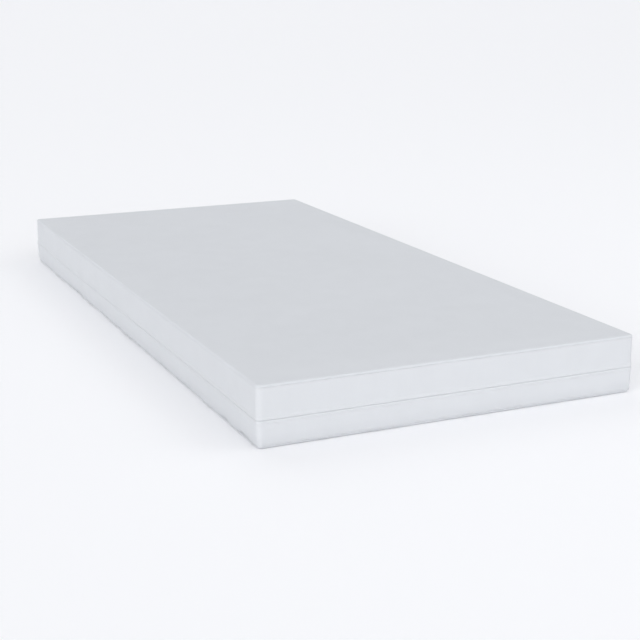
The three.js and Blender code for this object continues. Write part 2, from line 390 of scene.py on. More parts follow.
# %% Knitted cover cloth
KNIT_COLUMN = 1.6 * MM
KNIT_ROW = 1.2 * MM
# Painted light: the top is the same knit as the sides, but its white is painted a little lighter.
TOP_WHITE_PAINTED_LIGHTER = (0.678, 0.695, 0.722)
SIDE_WHITE = (0.668, 0.683, 0.706)
# Painted shade: the lowest few centimetres of the side are painted darker towards the floor.
FLOOR_SHADE_LINE = 32 * MM
PAINTED_SHADE_AT_FLOOR = 0.95


def knit_material(name, colour):
    material, tree, shader = start_material(name, 0.92, 0.2, sheen=0.04)
    where = cloth_place(tree)
    height = split(tree, object_place(tree))["Z"]
    # Painted shade: the colour darkens towards the floor, below the floor shade line.
    painted_floor_shade = spread(tree, height, 0.0, FLOOR_SHADE_LINE, PAINTED_SHADE_AT_FLOOR, 1.0)
    stitches = place_group(tree, knit_group, Place=where, Column=KNIT_COLUMN, Row=KNIT_ROW)
    tone = toned(tree, colour, 0.055, 0.05, 14.0, 700.0)
    # Painted shade and highlight: the colour is darker in the furrows between stitches and a
    # little lighter on their crowns.
    painted_stitch_shade = spread(tree, stitches["Furrow"], 0.0, 1.0, 1.02, 0.95)
    painted_light_and_shade = maths(tree, "MULTIPLY", painted_stitch_shade, painted_floor_shade)
    feed(tree, shader.inputs["Base Color"], times(tree, tone["Colour"], painted_light_and_shade))
    soft = bump(tree, shader, noise_at(tree, where, 160.0), 0.0002, 0.5)
    bump(tree, shader, stitches["Height"], 0.00012, 0.6, under=soft)
    return material


top_cloth_painted_lighter = knit_material("top_knit_painted_lighter", TOP_WHITE_PAINTED_LIGHTER)
side_cloth = knit_material("side_knit", SIDE_WHITE)

# %% Spunbond base cloth
BOND_POINTS = 450.0  # per metre


def spunbond_material(name, colour):
    material, tree, shader = start_material(name, 0.88, 0.25, sheen=0.05)
    tone = toned(tree, colour, 0.06, 0.1, 9.0, 450.0)
    points = add_node(tree, "TexVoronoi", feature="F1")
    points.inputs["Randomness"].default_value = 0.0
    points.inputs["Scale"].default_value = BOND_POINTS
    feed(tree, points.inputs["Vector"], cloth_place(tree))
    bond = spread(tree, points.outputs["Distance"], 0.18, 0.3, 1.0, 0.0)
    mask = maths(tree, "MULTIPLY", bond, 0.25)
    dark = [0.8 * x for x in colour]
    feed(tree, shader.inputs["Base Color"], darker_where(tree, mask, tone["Colour"], dark))
    bump(tree, shader, maths(tree, "SUBTRACT", 1.0, bond), 0.00015, 0.7)
    return material


base_cloth = spunbond_material("base_spunbond", (0.62, 0.635, 0.66))

# %% Thread, tape, coil and label
def twill_material(name, colour, rib, band, roughness=0.85, sheen=0.1):
    material, tree, shader = start_material(name, roughness, 0.3, sheen=sheen)
    weave = place_group(tree, twill_group, Place=cloth_place(tree), Rib=rib, Band=band)
    tone = toned(tree, colour, 0.04, 0.08, 30.0, 1500.0)
    # Painted shade and highlight: the colour is darker between the ribs and a little lighter on
    # them.
    painted_light_and_shade = spread(tree, weave["Height"], 0.0, 1.0, 0.9, 1.03)
    feed(tree, shader.inputs["Base Color"], times(tree, tone["Colour"], painted_light_and_shade))
    bump(tree, shader, weave["Height"], 0.0001, 0.8)
    return material


def yarn_material(name, colour, twist):
    material, tree, shader = start_material(name, 0.8, 0.3, sheen=0.15)
    ply = add_node(tree, "TexWave", wave_type="BANDS", bands_direction="DIAGONAL")
    ply.inputs["Scale"].default_value = twist
    feed(tree, ply.inputs["Vector"], object_place(tree))
    tone = toned(tree, colour, 0.04, 0.1, 20.0, 2500.0)
    feed(tree, shader.inputs["Base Color"], tone["Colour"])
    bump(tree, shader, ply.outputs["Fac"], 0.00008, 0.7)
    return material


def nylon_material(name, colour):
    material, tree, shader = start_material(name, 0.42, 0.45)
    tone = toned(tree, colour, 0.06, 0.05, 40.0, 900.0)
    feed(tree, shader.inputs["Base Color"], tone["Colour"])
    feed(tree, shader.inputs["Roughness"], spread(tree, tone["Cloud"], 0.3, 0.7, 0.36, 0.5))
    return material


thread_yarn = yarn_material("sewing_thread", (0.70, 0.712, 0.73), 500.0)
tape_cloth = twill_material("zip_tape_weave", (0.64, 0.652, 0.675), 0.7 * MM, 3.5 * MM)
label_cloth = twill_material("label_satin", (0.86, 0.865, 0.87), 0.4 * MM, 20 * MM, 0.45, 0.3)
coil_nylon = nylon_material("zip_nylon", (0.60, 0.61, 0.63))

# %% Plated metal
def plated_material(name, colour):
    material, tree, shader = start_material(name, 0.32, 0.5, metallic=1.0)
    where = object_place(tree)
    tone = toned(tree, colour, 0.12, 0.06, 300.0, 2600.0)
    feed(tree, shader.inputs["Base Color"], tone["Colour"])
    worn = noise_at(tree, where, 420.0, 3.0, 0.6)
    feed(tree, shader.inputs["Roughness"], spread(tree, worn, 0.35, 0.65, 0.24, 0.42))
    scratches = noise_at(tree, where, 2600.0, 3.0, 0.7)
    bump(tree, shader, scratches, 0.00002, 0.5)
    return material


zip_metal = plated_material("zip_plating", (0.63, 0.635, 0.645))

# %% Foam
def foam_material(name, colour, cell, painted_pit_shade):
    material, tree, shader = start_material(name, 0.95, 0.15, sheen=0.08)
    where = object_place(tree)
    cells = place_group(tree, cells_group, Place=where, Cell=cell)
    tone = toned(tree, colour, 0.08, 0.06, 6.0, 1200.0)
    # Painted shade: the colour is darkened in the cell pits, by their depth.
    mask = maths(tree, "MULTIPLY", cells["Pit"], painted_pit_shade)
    dark = [0.45 * x for x in colour]
    feed(tree, shader.inputs["Base Color"], darker_where(tree, mask, tone["Colour"], dark))
    saw_marks = bump(tree, shader, noise_at(tree, where, 35.0, 3.0), 0.0006, 0.5)
    bump(tree, shader, cells["Height"], 0.0005, 0.6, under=saw_marks)
    return material


memory_foam = foam_material("memory_foam_cream", (0.79, 0.71, 0.55), 1.1 * MM, 0.35)
transition_foam = foam_material("transition_foam_blue", (0.50, 0.66, 0.76), 1.8 * MM, 0.5)
support_foam = foam_material("support_foam_white", (0.72, 0.73, 0.73), 2.4 * MM, 0.55)
print("materials:", len(bpy.data.materials))

# %% [markdown]
# ## The plan that every cloth piece follows
#
# Seen from above, the mattress is a rectangle with small round corners. All the cloth is
# built from stations on that outline: a ring of them at a given inset and height is one row
# of the mesh. The flat middle of a panel is a plain grid that ends on the same stations, so
# panels, hems, tapes and threads line up without any fitting.

# %% Stations round the outline
HALF = np.array([sides_high.x, sides_high.y])
CORNER = 13 * MM
INNER = HALF - CORNER
STEPS_SHORT = 90
STEPS_LONG = 190
CORNER_STEPS = 8


def walk_round():
    """Arrays of places on the widest outline, outward directions and the grid corner or edge
    point behind each, anticlockwise from the rear right corner."""
    places, outward, knots = [], [], []

    def add(knot, direction):
        places.append(knot + CORNER * direction)
        outward.append(direction)
        knots.append(knot)

    signs = ((1, 1), (-1, 1), (-1, -1), (1, -1))
    for turn, sign in enumerate(signs):
        here = INNER * np.array(sign)
        there = INNER * np.array(signs[(turn + 1) % 4])
        for step in range(CORNER_STEPS + 1):
            angle = (turn + step / CORNER_STEPS) * math.pi / 2
            add(here, np.array([math.cos(angle), math.sin(angle)]))
        steps = STEPS_SHORT if turn % 2 == 0 else STEPS_LONG
        for step in range(1, steps):
            add(here + (there - here) * step / steps, outward[-1])
    # The walk starts one step into the corner, so that it closes over a very short step.
    return (np.roll(np.array(rows), -1, axis=0) for rows in (places, outward, knots))


place, outward, knot = walk_round()
STATIONS = len(place)
steps_between = np.linalg.norm(np.roll(place, -1, axis=0) - place, axis=1)
walked = np.concatenate([[0.0], np.cumsum(steps_between)[:-1]])
ROUND = float(steps_between.sum())
print("stations:", STATIONS, "outline length, m:", round(ROUND, 3))

# %% Mesh helpers
def finish_mesh(name, points, faces, flat_places, material, smooth=True):
    mesh = bpy.data.meshes.new(name)
    mesh.from_pydata([tuple(p) for p in points], [], faces)
    mesh.validate()
    if len(flat_places):
        attribute = mesh.attributes.new(CLOTH_PLACE, "FLOAT_VECTOR", "POINT")
        attribute.data.foreach_set("vector", np.asarray(flat_places, np.float32).ravel())
    mesh.polygons.foreach_set("use_smooth", [smooth] * len(mesh.polygons))
    mesh.materials.append(material)
    return add_object(name, mesh)


def row_points(inset, height):
    flat = place - inset * outward
    return np.column_stack([flat, np.full(STATIONS, height)])


def band_faces(upper, lower):
    """Quads between two rows of stations that start at these indices, facing outwards when
    upper is the higher row."""
    return [(upper + i, lower + i, lower + (i + 1) % STATIONS, upper + (i + 1) % STATIONS)
            for i in range(STATIONS)]

# %% Grids and shells
GRID_SIZE = (STEPS_SHORT + 1) * (STEPS_LONG + 1)


def grid_points(height):
    xs = np.linspace(-INNER[0], INNER[0], STEPS_SHORT + 1)
    ys = np.linspace(-INNER[1], INNER[1], STEPS_LONG + 1)
    x, y = np.meshgrid(xs, ys)
    return np.column_stack([x.ravel(), y.ravel(), np.full(x.size, height)])


def grid_index(point):
    """The grid point that lies behind a station."""
    column = round((point[0] + INNER[0]) / (2 * INNER[0]) * STEPS_SHORT)
    row = round((point[1] + INNER[1]) / (2 * INNER[1]) * STEPS_LONG)
    return row * (STEPS_SHORT + 1) + column


GRID_BEHIND = [grid_index(k) for k in knot]


def grid_faces(start, up):
    faces = []
    for row in range(STEPS_LONG):
        for column in range(STEPS_SHORT):
            a = start + row * (STEPS_SHORT + 1) + column
            quad = (a, a + 1, a + STEPS_SHORT + 2, a + STEPS_SHORT + 1)
            faces.append(quad if up else quad[::-1])
    return faces


def join_faces(grid_start, ring_start, up):
    """Quads, and triangles at the corners, between a grid's edge and the ring round it."""
    faces = []
    for i in range(STATIONS):
        j = (i + 1) % STATIONS
        a, b = grid_start + GRID_BEHIND[i], grid_start + GRID_BEHIND[j]
        face = (a, ring_start + i, ring_start + j) if a == b else (
            a, ring_start + i, ring_start + j, b)
        faces.append(face if up else face[::-1])
    return faces


def shell(rows, up=True, closed=False):
    """Points and faces of a flat grid with rows of (inset, height) round it, from the grid
    outwards. closed adds a second grid inside the last row."""
    parts = [grid_points(rows[0][1])] + [row_points(*row) for row in rows]
    starts = [GRID_SIZE + k * STATIONS for k in range(len(rows))]
    faces = grid_faces(0, up) + join_faces(0, starts[0], up)
    for upper, lower in zip(starts, starts[1:]):
        faces += band_faces(upper, lower) if up else band_faces(lower, upper)
    if closed:
        second = starts[-1] + STATIONS
        parts.append(grid_points(rows[-1][1]))
        faces += join_faces(second, starts[-1], not up) + grid_faces(second, not up)
    return np.vstack(parts), faces


def roll_rows(inset, height, radius, steps, start=0.0):
    """Rows over a round edge, from its flat side to its upright side, as (inset, height)."""
    angles = np.radians(np.linspace(start, 90.0, steps + 1))
    return [(inset - radius * math.sin(a), height + radius * math.cos(a)) for a in angles]

# %% Tie a piece to the frame
def fit(piece, body, node=None):
    """Says which body a piece rides on and the CAD piece it replaces."""
    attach(piece, body)
    if node:
        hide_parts(node)

# %% [markdown]
# ## Where the cloth is not flat
#
# The cover is cut to fit, so it lies nearly flat, but not quite. Thread pulls the cloth
# short along each seam and leaves small upright puckers beside it. Between the seams the
# side is slack and waves slowly, and the top lies in a few faint folds. Painting these as
# bumps would leave the edges dead straight. Instead all of it is one field of heights, read
# at each point, so it runs on over the seams from one panel to the next.

# %% Heights of the seams
BASE_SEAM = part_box("lower_border")[0].z
TOP_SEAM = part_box("upper_border")[1].z
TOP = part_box("top_panel")[1].z
ZIP = (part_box("upper_border")[0].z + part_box("lower_border")[1].z) / 2
PUCKER = 0.8 * MM
PUCKER_SIZE = np.array([17, 17, 60]) * MM
PUCKER_SEED = 3.7
PUCKER_REACH = 11 * MM  # how far from a seam the puckers are strong
PUCKER_REST = 0.35  # share of them that is left far from the seams
SLACK = 0.55 * MM
SLACK_SIZE = np.array([85, 85, 120]) * MM
SLACK_SEED = 11.3
LOWER_SHARE = 2.0  # the lower border is slacker than the upper one
FLOOR_SHARE = 1.6  # and slacker still where it is pressed against the floor
FLOOR_REACH = 13 * MM


def waves(points, size, seed):
    scaled = points / size + seed
    return np.array([noise.noise(Vector(p)) for p in scaled])


def smooth_step(value, low, high):
    t = np.clip((value - low) / (high - low), 0.0, 1.0)
    return t * t * (3 - 2 * t)

# %% Slack of the top cloth
# The top is cut a hair larger than the foam. A sheet with that spare is pinned at its edges
# and let go in Blender's Cloth, which throws it into long shallow folds. The fresh folds are
# far too deep for a tight cover, so they are smoothed and kept at a small part of their height.
SHEET_STEP = 20 * MM
SHEET_SPARE = 0.0015
SHEET_FRAMES = 16
START_WAVE = 0.8 * MM
START_WAVES = ((1.0, (0.24, 0.19, 1.0), 3.1), (0.5, (0.11, 0.09, 1.0), 13.7))  # share, size, seed
FOLD_HEIGHT = 2.1 * MM
FOLD_FADE = 60 * MM


def loose_sheet():
    xs, ys = (np.linspace(-h, h, 1 + round(2 * h / SHEET_STEP)) for h in INNER)
    x, y = np.meshgrid(xs, ys)
    flat = np.column_stack([x.ravel(), y.ravel(), np.zeros(x.size)])
    start = sum(share * waves(flat, np.array(size), seed) for share, size, seed in START_WAVES)
    from_edge = np.min(INNER - np.abs(flat[:, :2]), axis=1)
    flat[:, 2] = start * START_WAVE * np.clip(from_edge / FOLD_FADE, 0.0, 1.0)
    wide = len(xs)
    faces = [(a, a + 1, a + wide + 1, a + wide)
             for row in range(len(ys) - 1) for a in range(row * wide, (row + 1) * wide - 1)]
    mesh = bpy.data.meshes.new("loose_sheet")
    mesh.from_pydata(flat.tolist(), [], faces)
    sheet = add_object("loose_sheet", mesh)
    pinned = sheet.vertex_groups.new(name="pinned")
    pinned.add([int(i) for i in np.flatnonzero(from_edge < MM)], 1.0, "REPLACE")
    return sheet, from_edge, xs, ys

# %% Let the sheet go
def let_go(sheet):
    """Runs the cloth and returns the height of each point."""
    cloth = sheet.modifiers.new("cloth", "CLOTH")
    settings = cloth.settings
    settings.quality = 6
    settings.mass = 0.15
    settings.tension_stiffness = settings.compression_stiffness = 12.0
    settings.shear_stiffness = 4.0
    settings.bending_stiffness = 40.0
    settings.tension_damping = settings.compression_damping = 15.0
    settings.shear_damping = 10.0
    settings.bending_damping = 2.0
    settings.air_damping = 3.0
    settings.vertex_group_mass = "pinned"
    settings.shrink_min = settings.shrink_max = -SHEET_SPARE
    settings.effector_weights.gravity = 0.0
    cloth.collision_settings.use_collision = False
    cloth.point_cache.frame_end = SHEET_FRAMES
    for step in range(1, SHEET_FRAMES + 1):
        bpy.context.scene.frame_set(step)
    settled = sheet.evaluated_get(bpy.context.evaluated_depsgraph_get()).to_mesh()
    points = np.empty(3 * len(settled.vertices))
    settled.vertices.foreach_get("co", points)
    bpy.context.scene.frame_set(1)
    mesh = sheet.data
    bpy.data.objects.remove(sheet)
    bpy.data.meshes.remove(mesh)
    return points.reshape(-1, 3)[:, 2]


def smoothed(field, times):
    for _ in range(times):
        padded = np.pad(field, 1, mode="edge")
        field = (padded[:-2] + 2 * padded[1:-1] + padded[2:]) / 4
        field = (field[:, :-2] + 2 * field[:, 1:-1] + field[:, 2:]) / 4
    return field

# %% Folds of the top
FOLD_CREST = 1.2  # the highest fold, in shares of FOLD_HEIGHT
FOLD_LIFT = 0.6  # lifts the folds, so that their valleys stay clear of the foam
CREST_PERCENTILE = 97  # how much of the sheet lies below the height that counts as 1
SMOOTHINGS = 4

sheet, from_edge, fold_xs, fold_ys = loose_sheet()
folds = smoothed(let_go(sheet).reshape(len(fold_ys), len(fold_xs)), SMOOTHINGS)
folds /= np.percentile(np.abs(folds), CREST_PERCENTILE)
folds = np.clip(folds, -FOLD_CREST, FOLD_CREST)
fade = smooth_step(from_edge, 0.0, FOLD_FADE).reshape(folds.shape)
folds = (folds + FOLD_LIFT) * FOLD_HEIGHT * fade
print("folds, mm:", round(folds.min() / MM, 2), "to", round(folds.max() / MM, 2))


def top_slack(points):
    """Height of the settled folds at each point, read between the points of the sheet."""
    cells = []
    for axis, stops in enumerate((fold_xs, fold_ys)):
        cell = np.clip((points[:, axis] - stops[0]) / (stops[1] - stops[0]), 0,
                       len(stops) - 1.001)
        share = cell - cell.astype(int)
        cells.append((cell.astype(int), share * share * (3 - 2 * share)))
    (j, over), (i, down) = cells
    near = folds[i, j] * (1 - over) + folds[i, j + 1] * over
    far = folds[i + 1, j] * (1 - over) + folds[i + 1, j + 1] * over
    return near * (1 - down) + far * down

# %% Relief of the sides
def relief(points):
    """How far the cloth stands out at each point, in metres."""
    z = points[:, 2]
    on_side = 1.0 - smooth_step(z, TOP_SEAM - 4 * MM, TOP - 1 * MM)
    seams = np.array([BASE_SEAM, ZIP, TOP_SEAM])
    nearest = np.abs(z[:, None] - seams[None, :]).min(axis=1)
    by_seam = PUCKER_REST + (1.0 - PUCKER_REST) * np.exp(-nearest / PUCKER_REACH)
    slack = 1.0 + (LOWER_SHARE - 1.0) * (1.0 - smooth_step(z, ZIP - MM, ZIP + MM))
    slack += FLOOR_SHARE * np.exp(-np.maximum(z - BASE_SEAM, 0.0) / FLOOR_REACH)
    side = PUCKER * by_seam * slack * waves(points, PUCKER_SIZE, PUCKER_SEED)
    side += SLACK * slack * waves(points, SLACK_SIZE, SLACK_SEED)
    return on_side * side + (1.0 - on_side) * top_slack(points)

# %% Sag of the zip line
# Along the left side the zip has sunk a little, most of all behind the middle, where nothing
# holds it up.
SAG = 3.0 * MM


def sag(points):
    """How far each point of the side sinks."""
    along = np.clip(points[:, 1] / HALF[1], -1.0, 1.0)
    on_left = smooth_step(-points[:, 0], HALF[0] - 2 * CORNER, HALF[0] - CORNER)
    z = points[:, 2]
    held = np.minimum((z - BASE_SEAM) / (ZIP - BASE_SEAM), (TOP_SEAM - z) / (TOP_SEAM - ZIP))
    slack_run = smooth_step(along, -0.9, 0.25) * (1.0 - smooth_step(along, 0.6, 1.0))
    return SAG * slack_run * on_left * np.clip(held, 0.0, 1.0)

# %% Tuck near the floor
# The foam's weight presses the lowest part of the side in under it, on a soft curve.
TUCK = 2.6 * MM
TUCK_START = 36 * MM


def tuck(height):
    """How far the side is drawn in at a height above the floor."""
    share = np.clip((TUCK_START - height) / (TUCK_START - BASE_SEAM), 0.0, 1.0)
    return float(TUCK * share ** 2)

# %% [markdown]
# ## Top panel
#
# The sleeping surface is one piece of knit that turns down over the edge of the foam and
# ends in the seam to the border. A rounded box would give the outline, but its edge would
# be hard and its corners too clean. Here the rows follow the real path of the cloth: flat,
# then a little hollow where the edge pulls on it, round the roll, and in to the seam.

# %% Panels
CLOTH = 0.6 * MM
EDGE_ROLL = 5 * MM
FACE = 1 * MM  # inset of the plain side from the widest face
EDGE_DROP = 0.7 * MM
DROP_REACH = 22 * MM


def panel_directions(rows):
    """Where the top's outer face looks: up on the grid, turning to sideways over the rows."""
    made = [np.tile([0.0, 0.0, 1.0], (GRID_SIZE, 1))]
    reach = rows[0][1] - rows[-1][1]
    for _, height in rows:
        tilt = min(1.0, abs(rows[0][1] - height) / reach) * math.pi / 2
        made.append(np.column_stack([outward * math.sin(tilt),
                                     np.full(STATIONS, math.cos(tilt))]))
    return np.vstack(made)


def panel_piece(name, rows, up, material):
    """A sheet with a flat grid inside the given rows. up says which way its outer face looks.
    Only the top follows the relief, because the base is pressed flat."""
    points, faces = shell(rows, up)
    path = np.array([(CORNER - rows[0][0], 0.0)] + [
        (here[0] - there[0], here[1] - there[1]) for here, there in zip(rows, rows[1:])])
    out = np.cumsum(np.hypot(*path.T))
    flat = [np.column_stack([points[:GRID_SIZE, :2], np.zeros(GRID_SIZE)])]
    flat += [np.column_stack([knot + outward * d, np.zeros(STATIONS)]) for d in out]
    if up:
        points = points + relief(points)[:, None] * panel_directions(rows)
    return finish_mesh(name, points, faces, np.vstack(flat), material)


def pull_down_edges(piece):
    """The cloth is tight over the edge, so the flat sinks a little towards it."""
    mesh = piece.data
    points = np.empty(len(mesh.vertices) * 3)
    mesh.vertices.foreach_get("co", points)
    points = points.reshape(-1, 3)
    inset = np.min(HALF - np.abs(points[:, :2]), axis=1)
    share = smooth_step(points[:, 2], TOP - EDGE_ROLL, TOP)
    points[:, 2] -= EDGE_DROP * np.exp(-np.maximum(inset, 0) / DROP_REACH) * share
    mesh.vertices.foreach_set("co", points.ravel())
    mesh.update()


def thicken(piece, thickness, offset=-1.0):
    solid = piece.modifiers.new("cloth_thickness", "SOLIDIFY")
    solid.thickness = thickness
    solid.offset = offset
    solid.use_even_offset = True

# %% Top panel
top_rows = [(12 * MM, TOP), (9 * MM, TOP)]
top_rows += roll_rows(FACE + EDGE_ROLL, TOP - EDGE_ROLL, EDGE_ROLL, 9)
top_rows += [(1.15 * MM, TOP_SEAM - 0.1 * MM), (2.0 * MM, TOP_SEAM - 0.3 * MM),
             (3.0 * MM, TOP_SEAM - 0.35 * MM)]
top_panel = panel_piece("top_panel_cloth", top_rows, True, top_cloth_painted_lighter)
pull_down_edges(top_panel)
thicken(top_panel, CLOTH)
fit(top_panel, "cover_top", "top_panel")

# %% [markdown]
# ## Borders and their hems
#
# The side of the cover is two long strips. Each ends at the zip in a folded hem, which is
# double cloth and stands out by a millimetre. The fold of the upper hem catches the light
# and throws the thin dark line that shows all round the mattress. A single sheet with a
# Solidify modifier would cross itself at so tight a fold, so each strip is a closed section
# carried round the outline: down the outside, round the fold and up the inside.

# %% Section of a border
SLOT_HALF = 0.13 * MM
HEM = (  # distance from the fold, inset
    (8.5, 1.0), (7.4, 0.72), (6.2, 0.3), (5.0, 0.08), (3.6, 0.0), (2.1, 0.03), (1.05, 0.16),
    (0.42, 0.42), (0.09, 0.8), (0.0, 1.4), (0.35, 2.3), (1.2, 2.6),
)
HEM_TOP = 9.5 * MM
SEAM_TURN = ((0.1, 2.9), (0.0, 2.1), (0.25, 1.45), (0.8, 1.08), (1.6, 1.0))  # from the seam, inset
SEAM_END = 3.0 * MM
SIDE_ROWS = 11
INSIDE_FACE = 2.6 * MM
INSIDE_SHARE = 0.3  # how much of the relief reaches the inside


def border_section(seam, lean, side):
    """(inset, height) points of a closed section, from the seam down the outside to the
    fold and back up the inside. side is 1 above the zip and -1 below it."""
    def drawn_in(height):
        return tuck(height) if lean else 0.0

    fold = ZIP + side * SLOT_HALF
    start, end = seam - side * SEAM_END, fold + side * HEM_TOP
    outside = [(i * MM + lean, seam - side * d * MM) for d, i in SEAM_TURN]
    for step in range(SIDE_ROWS + 1):
        height = start + (end - start) * step / SIDE_ROWS
        outside.append((FACE + drawn_in(height), height))
    hem = [(i * MM, fold + side * d * MM) for d, i in HEM]
    middle = (start + end) / 2
    inside = [(INSIDE_FACE, end), (INSIDE_FACE + drawn_in(middle), middle),
              (INSIDE_FACE + lean, seam - side * 1.2 * MM)]
    return outside + hem + inside, len(outside) + len(hem) - 3

# %% Border strips
# A strip's own length would jump where its ends meet, and the stitches with it. Measured from
# the middle of the strip both ways, it meets itself, and knitting looks the same both ways.
FOLDED = np.abs(walked - ROUND / 2)


def ring_piece(name, section, outer_count, flip, material):
    points, flat, weights = [], [], []
    along = 0.0
    for k, (inset, height) in enumerate(section):
        if k:
            along += math.dist(section[k], section[k - 1])
        points.append(row_points(inset, height))
        flat.append(np.column_stack([FOLDED, np.full(STATIONS, along), np.zeros(STATIONS)]))
        weights.append(np.full(STATIONS, 1.0 if k < outer_count else INSIDE_SHARE))
    points = np.vstack(points)
    push = relief(points) * np.concatenate(weights)
    points[:, :2] += push[:, None] * np.tile(outward, (len(section), 1))
    points[:, 2] -= sag(points)
    faces = []
    for k in range(len(section)):
        upper, lower = k * STATIONS, ((k + 1) % len(section)) * STATIONS
        faces += band_faces(lower, upper) if flip else band_faces(upper, lower)
    return finish_mesh(name, points, faces, np.vstack(flat), material)


def add_border(name, node, body, seam, lean, side):
    section, outer_count = border_section(seam, lean, side)
    piece = ring_piece(name, section, outer_count, side < 0, side_cloth)
    fit(piece, body, node)


add_border("upper_border_cloth", "upper_border", "cover_top",
           TOP_SEAM - 0.62 * MM, 0.0, 1)
add_border("lower_border_cloth", "lower_border", "core_and_base",
           BASE_SEAM + 0.3 * MM, TUCK, -1)

# %% [markdown]
# ## Base panel
#
# The underside is a plain bonded cloth. It turns up a few millimetres round the foam and is
# sewn to the lower border, so it is built in the same way as the top, facing down.

# %% Base panel
BASE_ROLL = 5 * MM
BASE_FACE = FACE + TUCK + 0.5 * MM

base_rows = [(12.4 * MM, 0.0), (BASE_FACE + BASE_ROLL, 0.0)]
base_rows += [(i, BASE_ROLL - (h - BASE_ROLL)) for i, h in
              roll_rows(BASE_FACE + BASE_ROLL, BASE_ROLL, BASE_ROLL, 6, 15.0)]
base_rows += [(BASE_FACE + 0.4 * MM, BASE_SEAM + 0.1 * MM),
              (BASE_FACE + 1.4 * MM, BASE_SEAM + 0.15 * MM)]
base_panel = panel_piece("base_panel_cloth", base_rows, False, base_cloth)
thicken(base_panel, CLOTH)
fit(base_panel, "core_and_base", "base_panel")

# %% [markdown]
# ## The foam core
#
# The three layers are cut from blocks and glued into one core. The slow, cream-coloured
# memory foam has its upper edges eased, so that the cover rolls softly over them. Each layer
# is a closed body: a grid above, rows down the side, and a grid below.

# %% Foam layers
SAW_WAVE = 0.35 * MM
SAW_SIZE = np.array([60, 60, 14]) * MM
SAW_SEED = 57.0
SAW_MIDDLE = 0.4
GRID_GAP = 0.4 * MM  # between the flat grid and the first row round it
SIDE_STEPS = 6


def foam_piece(name, material, top_ease, bottom_ease):
    node = name + "_layer"
    low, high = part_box(node)
    inset = HALF[0] - high.x
    upper, lower = high.z - top_ease, low.z + bottom_ease
    rows = [(CORNER - GRID_GAP, high.z)] + roll_rows(inset + top_ease, upper, top_ease, 5)
    rows += [(inset, float(z)) for z in np.linspace(upper, lower, SIDE_STEPS)[1:-1]]
    rows += [(i, 2 * lower - h) for i, h in
             roll_rows(inset + bottom_ease, lower, bottom_ease, 4)[::-1]]
    rows += [(CORNER - GRID_GAP, low.z)]
    points, faces = shell(rows, closed=True)
    side = points[GRID_SIZE:GRID_SIZE + len(rows) * STATIONS]
    on_side = np.repeat([low.z + MM < height < high.z - MM for _, height in rows], STATIONS)
    push = SAW_WAVE * on_side * (waves(side, SAW_SIZE, SAW_SEED) - SAW_MIDDLE)
    side[:, :2] += push[:, None] * np.tile(outward, (len(rows), 1))
    piece = finish_mesh(name, points, faces, points, material)
    fit(piece, "core_and_base", node)
    print(name, "thickness, mm:", round((high.z - low.z) / MM, 1))


foam_piece("memory_foam", memory_foam, 6 * MM, 0.6 * MM)
foam_piece("transition_foam", transition_foam, 0.6 * MM, 0.6 * MM)
foam_piece("support_foam", support_foam, 0.6 * MM, 3 * MM)

# %% [markdown]
# ## Sewing thread
#
# Lockstitches hold the panels to the borders. They lie in the groove between the two cloths
# and show as a row of short lengths of thread, each a little aslant. A curve with a bevel
# would be one smooth wire round the mattress. So one stitch is made as a small closed body
# that dives into the cloth at both ends, and copies of it are set out along the outline.

# %% Setting out along the outline
def outline_at(distances):
    """Places and outward directions at these distances round the outline."""
    stops = np.append(walked, ROUND)
    wrapped = np.mod(distances, ROUND)
    found = []
    for rows in (place, outward):
        closed = np.vstack([rows, rows[:1]])
        found.append(np.column_stack([np.interp(wrapped, stops, closed[:, k]) for k in (0, 1)]))
    return found


def along_outline(distances, local):
    """Points for one copy of a small shape at each distance. The shape's own points are rows
    of (along, out, height); out is measured from the outline, height from the floor."""
    at, out = outline_at(distances)
    ahead = np.column_stack([-out[:, 1], out[:, 0]])
    flat = (at[:, None] + out[:, None] * local[None, :, 1:2]
            + ahead[:, None] * local[None, :, 0:1])
    height = np.broadcast_to(local[None, :, 2:3], (*flat.shape[:2], 1))
    return np.concatenate([flat, height], axis=2).reshape(-1, 3)


right_side = [i for i in range(STATIONS) if outward[i][0] > 0.999]


def distance_at(y):
    """Distance round the outline of a point on the right side."""
    return float(np.interp(y, place[right_side, 1], walked[right_side]))


def copied_faces(faces, points_each, copies):
    return [tuple(i + k * points_each for i in face) for k in range(copies) for face in faces]


def follow_cloth(points):
    """Moves points near the side outwards and down with the cloth there."""
    outwards = points[:, :2] - np.clip(points[:, :2], CORNER - HALF, HALF - CORNER)
    reach = np.maximum(np.linalg.norm(outwards, axis=1), 1e-9)[:, None]
    points[:, :2] += outwards / reach * relief(points)[:, None]
    points[:, 2] -= sag(points)
    return points


def face_outwards(piece, join=0.0):
    """Turns every closed shell of a mesh so that its faces look outwards, after merging
    points that are closer than join."""
    work = bmesh.new()
    work.from_mesh(piece.data)
    if join:
        bmesh.ops.remove_doubles(work, verts=work.verts, dist=join)
    bmesh.ops.recalc_face_normals(work, faces=work.faces)
    work.to_mesh(piece.data)
    work.free()
    return piece


print("right side holds stations:", len(right_side))

# %% One stitch
STITCH_STEPS = 5
STITCH_SIDES = 6


def tube_faces(rows, sides, capped=True):
    faces = []
    for k in range(rows - 1):
        low, high = k * sides, (k + 1) * sides
        faces += [(low + i, low + (i + 1) % sides, high + (i + 1) % sides, high + i)
                  for i in range(sides)]
    if capped:
        faces += [tuple(range(sides))[::-1], tuple(range((rows - 1) * sides, rows * sides))]
    return faces


